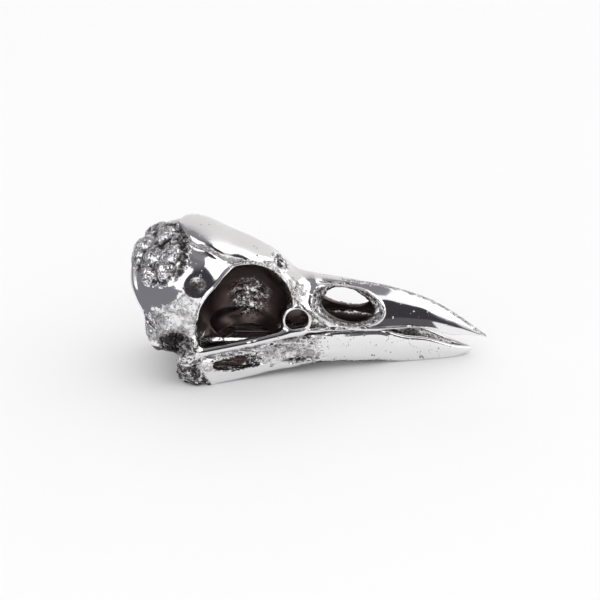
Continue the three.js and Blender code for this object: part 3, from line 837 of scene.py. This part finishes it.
# Black for pits and scratches, and for dirt and painted shade in low spots.
PIT_AND_SHADE_BLACK = (0.06, 0.055, 0.055, 1)
COARSE_GRAIN = 900
FINE_GRAIN = 2200
SPECKS = 260
PIT_CELLS = 620.0
SCRATCHES = 130
POLISH_LOW = 0.06
POLISH_HIGH = 0.10
DULLED = {"satin": 0.22, "grainy": 0.12, "shade_share": 0.25}
BUMP_HEIGHT = 0.0004


def cast_metal():
    """Bright metal: mirror where polished, brushed on the shield, grainy as cast, painted near black as shade
    in the hollows.
    """
    material = bpy.data.materials.new("cast_metal")
    material.use_nodes = True
    tree = material.node_tree
    shader = tree.nodes["Principled BSDF"]
    shader.inputs["Metallic"].default_value = 1.0
    place = node(tree, "ShaderNodeTexCoord").outputs["Object"]
    dark, grime_and_shade, rough, satin, pitted = [
        node(tree, "ShaderNodeAttribute", attribute_name=name).outputs["Fac"]
        for name in ("dark", "grime_and_shade", "rough", "satin", "pitted")
    ]
    coarse = noise(tree, place, COARSE_GRAIN, 3)
    fine = noise(tree, place, FINE_GRAIN, 2)
    speck = noise(tree, place, SPECKS, 3)
    cells = node(tree, "ShaderNodeTexVoronoi", {"Vector": place, "Scale": PIT_CELLS}).outputs["Distance"]
    pit_here = ramp(tree, sum_of(tree, speck, sum_of(tree, pitted, 0.16, "MULTIPLY")), 0.62, 0.68)
    pits = sum_of(tree, ramp(tree, cells, 0.2, 0.08), pit_here, "MULTIPLY")
    line = sum_of(tree, sum_of(tree, noise(tree, place, SCRATCHES, 2), 0.5, "SUBTRACT"), 0.0, "ABSOLUTE")
    scratch = sum_of(tree, ramp(tree, line, 0.006, 0.002), ramp(tree, fine, 0.54, 0.58), "MULTIPLY")
    scratch = sum_of(tree, scratch, ramp(tree, pitted, 0.6, 0.9), "MULTIPLY")
    pits = sum_of(tree, pits, scratch, "MAXIMUM")
    mottle = sum_of(tree, sum_of(tree, coarse, fine), 1.0, "SUBTRACT")
    grainy = ramp(tree, sum_of(tree, rough, sum_of(tree, coarse, 0.5, "SUBTRACT")), 0.3, 0.6)
    # Painted shade: near black where the depth share and the mottle are high.
    shade_share = ramp(tree, sum_of(tree, dark, mottle), 0.3, 0.7)
    cast_tone = blend_colour(tree, ramp(tree, fine, 0.36, 0.56), GRIMY, AS_CAST)
    colour = blend_colour(tree, grainy, POLISHED, cast_tone)
    # Dirt and painted shade in low spots and hollows turn black, together with the pits and scratches.
    grime_and_shade_share = ramp(tree, sum_of(tree, grime_and_shade, mottle), 0.35, 0.6)
    colour = blend_colour(tree, sum_of(tree, pits, grime_and_shade_share, "MAXIMUM"), colour, PIT_AND_SHADE_BLACK)
    tree.links.new(blend_colour(tree, shade_share, colour, SHADE_BLACK), shader.inputs["Base Color"])
    roughness = ramp(tree, speck, 0.3, 0.7, POLISH_LOW, POLISH_HIGH)
    for share, name in ((satin, "satin"), (grainy, "grainy"), (shade_share, "shade_share")):
        roughness = sum_of(tree, roughness, sum_of(tree, share, DULLED[name], "MULTIPLY"))
    tree.links.new(roughness, shader.inputs["Roughness"])
    height = sum_of(tree, sum_of(tree, coarse, sum_of(tree, fine, 0.5, "MULTIPLY")), grainy, "MULTIPLY")
    height = sum_of(tree, height, sum_of(tree, pits, -0.6, "MULTIPLY"))
    height = sum_of(tree, height, sum_of(tree, sum_of(tree, fine, satin, "MULTIPLY"), 0.12, "MULTIPLY"))
    bump = node(tree, "ShaderNodeBump", {"Height": height, "Strength": 1.0, "Distance": BUMP_HEIGHT})
    tree.links.new(bump.outputs["Normal"], shader.inputs["Normal"])
    return material


def mesh_of(name, points, faces):
    """Mesh object at the origin from point and face arrays."""
    mesh = bpy.data.meshes.new(name)
    mesh.from_pydata(points, [], faces)
    made = bpy.data.objects.new(name, mesh)
    bpy.context.scene.collection.objects.link(made)
    return made


def thinned(piece, most):
    """The piece's mesh with its flattest edges collapsed until it has `most` triangles."""
    triangles = 2 * len(piece.data.polygons)
    if triangles > most:
        collapse = piece.modifiers.new("thin", "DECIMATE")
        collapse.ratio = most / triangles
        thin = bpy.data.meshes.new_from_object(piece.evaluated_get(bpy.context.evaluated_depsgraph_get()))
        piece.modifiers.clear()
        piece.data = thin
    return piece


slide = np.array([cad_box[0][0] * 1000 - REAR, 0, 0])
low = np.array(cad_box[0]) * 1000 - slide - AROUND
high = np.array(cad_box[1]) * 1000 - slide + AROUND
points, faces = skin(sample(casting_field, low, high, STEP), low, STEP)
casting = thinned(mesh_of("skull_casting", points, faces), MOST_TRIANGLES)
points = np.empty(len(casting.data.vertices) * 3)
casting.data.vertices.foreach_get("co", points)
points = settle(casting_field, points.reshape(-1, 3), SETTLE_ROUNDS)
normals = slope(casting_field, points)
steep = np.linalg.norm(normals, axis=1)
normals /= steep[:, None]
casting.data.vertices.foreach_set("co", ((points + slide) / 1000).ravel())
for name, values in finish(points, normals, steep).items():
    casting.data.attributes.new(name, "FLOAT", "POINT").data.foreach_set("value", values.astype(np.float32))
casting.data.polygons.foreach_set("use_smooth", np.ones(len(casting.data.polygons), bool))
casting.data.update()
casting.data.normals_split_custom_set_from_vertices(normals)
casting.data.materials.clear()
casting.data.materials.append(cast_metal())
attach(casting, "root")
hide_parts(*sorted(nodes))


# ------------------------------------------------------------------------------------- Table
# A plain white sheet that the casting lies on, wide enough to fill every view. It isn't part of
# the object.
TABLE_HALF = 2.5


def table_white():
    """Matt white with the faintest unevenness."""
    material = bpy.data.materials.new("table_white")
    material.use_nodes = True
    tree = material.node_tree
    shader = tree.nodes["Principled BSDF"]
    place = node(tree, "ShaderNodeTexCoord").outputs["Object"]
    tone = blend_colour(tree, noise(tree, place, 3), (0.9, 0.9, 0.905, 1), (0.92, 0.92, 0.925, 1))
    tree.links.new(tone, shader.inputs["Base Color"])
    shader.inputs["Roughness"].default_value = 0.7
    return material


corners = [(-TABLE_HALF, -TABLE_HALF, 0), (TABLE_HALF, -TABLE_HALF, 0), (TABLE_HALF, TABLE_HALF, 0)]
floor = mesh_of("table_top", corners + [(-TABLE_HALF, TABLE_HALF, 0)], [(0, 1, 2, 3)])
floor.data.materials.append(table_white())


# ------------------------------------------------------------------------------------ Lights
# A bright wall behind, a dim room in front, and two large soft lights, one at the right and one at
# the left front. Polished metal shows all of it, which is what gives it its hard contrasts.
WALL_AZIMUTH = 57
SCREEN_AZIMUTH = 155
WALL_TONE = (0.76, 0.75, 0.745, 1)
ROOM_TONE = (0.24, 0.235, 0.25, 1)
SCREEN_TONE = (0.045, 0.042, 0.05, 1)
SOFT_FILL = (1.11, 1.105, 1.11, 1)
BACKGROUND = (0.985, 0.983, 0.985, 1)


def studio_air():
    """World: a bright wall behind the table, a dim room in front, a dark screen at the right of it."""
    world = bpy.data.worlds.new("studio_air")
    bpy.context.scene.world = world
    world.use_nodes = True
    world.cycles.sampling_method = "NONE"
    tree = world.node_tree
    way = node(tree, "ShaderNodeSeparateXYZ", {0: node(tree, "ShaderNodeTexCoord").outputs["Generated"]})
    height = way.outputs["Z"]
    level = sum_of(tree, 1.0, sum_of(tree, height, height, "MULTIPLY"), "SUBTRACT")
    level = sum_of(tree, level, 0.5, "POWER")

    def towards(azimuth):
        """Cosine of the turn between this direction and an azimuth."""
        a = math.radians(azimuth)
        along = sum_of(tree, sum_of(tree, way.outputs["X"], math.sin(a), "MULTIPLY"),
                       sum_of(tree, way.outputs["Y"], math.cos(a), "MULTIPLY"))
        return sum_of(tree, along, level, "DIVIDE")

    wall_high, screen_high = ramp(tree, height, 0.74, 0.62), ramp(tree, height, 0.80, 0.60, 0.3, 1.0)
    wall = sum_of(tree, ramp(tree, towards(WALL_AZIMUTH), 0.26, 0.32), wall_high, "MULTIPLY")
    screen = sum_of(tree, ramp(tree, towards(SCREEN_AZIMUTH), 0.88, 0.94), screen_high, "MULTIPLY")
    room = blend_colour(tree, screen, ROOM_TONE, SCREEN_TONE)
    seen_in_metal = blend_colour(tree, wall, room, WALL_TONE)
    path = node(tree, "ShaderNodeLightPath")
    sky = blend_colour(tree, path.outputs["Is Glossy Ray"], SOFT_FILL, seen_in_metal)
    sky = blend_colour(tree, path.outputs["Is Camera Ray"], sky, BACKGROUND)
    tree.links.new(sky, tree.nodes["Background"].inputs["Color"])


def softbox(name, azimuth, elevation, distance, width, height, power):
    """Rectangular light at an azimuth from +Y towards +X and an elevation, in degrees, facing the skull."""
    light = bpy.data.lights.new(name, "AREA")
    light.shape, light.size, light.size_y, light.energy = "RECTANGLE", width, height, power
    lamp = bpy.data.objects.new(name, light)
    bpy.context.scene.collection.objects.link(lamp)
    a, e = math.radians(azimuth), math.radians(elevation)
    out = Vector((math.sin(a) * math.cos(e), math.cos(a) * math.cos(e), math.sin(e)))
    lamp.location = out * distance + Vector((0, 0, 0.02))
    lamp.rotation_mode = "QUATERNION"
    lamp.rotation_quaternion = (-out).to_track_quat("-Z", "Y")
    lamp.visible_camera = lamp.visible_diffuse = False


def card(name, colour, height, foot):
    """Upright card on the table that only the metal sees, along the (x, y) points of its foot."""
    material = bpy.data.materials.new(name)
    material.use_nodes = True
    tree = material.node_tree
    glow = node(tree, "ShaderNodeEmission", {"Color": colour})
    tree.links.new(glow.outputs[0], tree.nodes["Material Output"].inputs["Surface"])
    count = len(foot)
    faces = [(i, i + 1, i + 1 + count, i + count) for i in range(count - 1)]
    made = mesh_of(name, [(x, y, z) for z in (0, height) for x, y in foot], faces)
    made.data.materials.append(material)
    made.visible_camera = made.visible_diffuse = made.visible_shadow = False


studio_air()
softbox("right_softbox", 90, 38, 1.6, 2.4, 1.2, 9)
softbox("left_softbox", -134, 32, 1.5, 2.34, 1.5, 11.4)
card("left_card", (0.2, 0.2, 0.225, 1), 0.03, [(-0.068, 0.035), (-0.07, -0.04), (-0.056, -0.062)])
card("front_card", (0.1, 0.095, 0.1, 1), 0.014, [(0.022, -0.036), (0.052, -0.031)])
bpy.context.scene.view_settings.view_transform = "Standard"


# ------------------------------------------------------------------------------------ Camera
# A long lens above the skull that looks down on its right side, a few degrees from square to it.
CAMERA_DOWN = math.radians(24.0)
CAMERA_TURN = math.radians(4.5)
CAMERA_DISTANCE = 0.60
FRAME_WIDTH = 0.15584
LOOK_AT = Vector((-0.00285, 0.0, 0.0169))

lens = bpy.data.cameras.new("camera")
lens.lens = lens.sensor_width * CAMERA_DISTANCE / FRAME_WIDTH
camera = bpy.data.objects.new("camera", lens)
bpy.context.scene.collection.objects.link(camera)
level = math.cos(CAMERA_DOWN)
view = Vector((math.sin(CAMERA_TURN) * level, math.cos(CAMERA_TURN) * level, -math.sin(CAMERA_DOWN)))
camera.location = LOOK_AT - CAMERA_DISTANCE * view
camera.rotation_mode = "QUATERNION"
camera.rotation_quaternion = view.to_track_quat("-Z", "Y")
bpy.context.scene.camera = camera
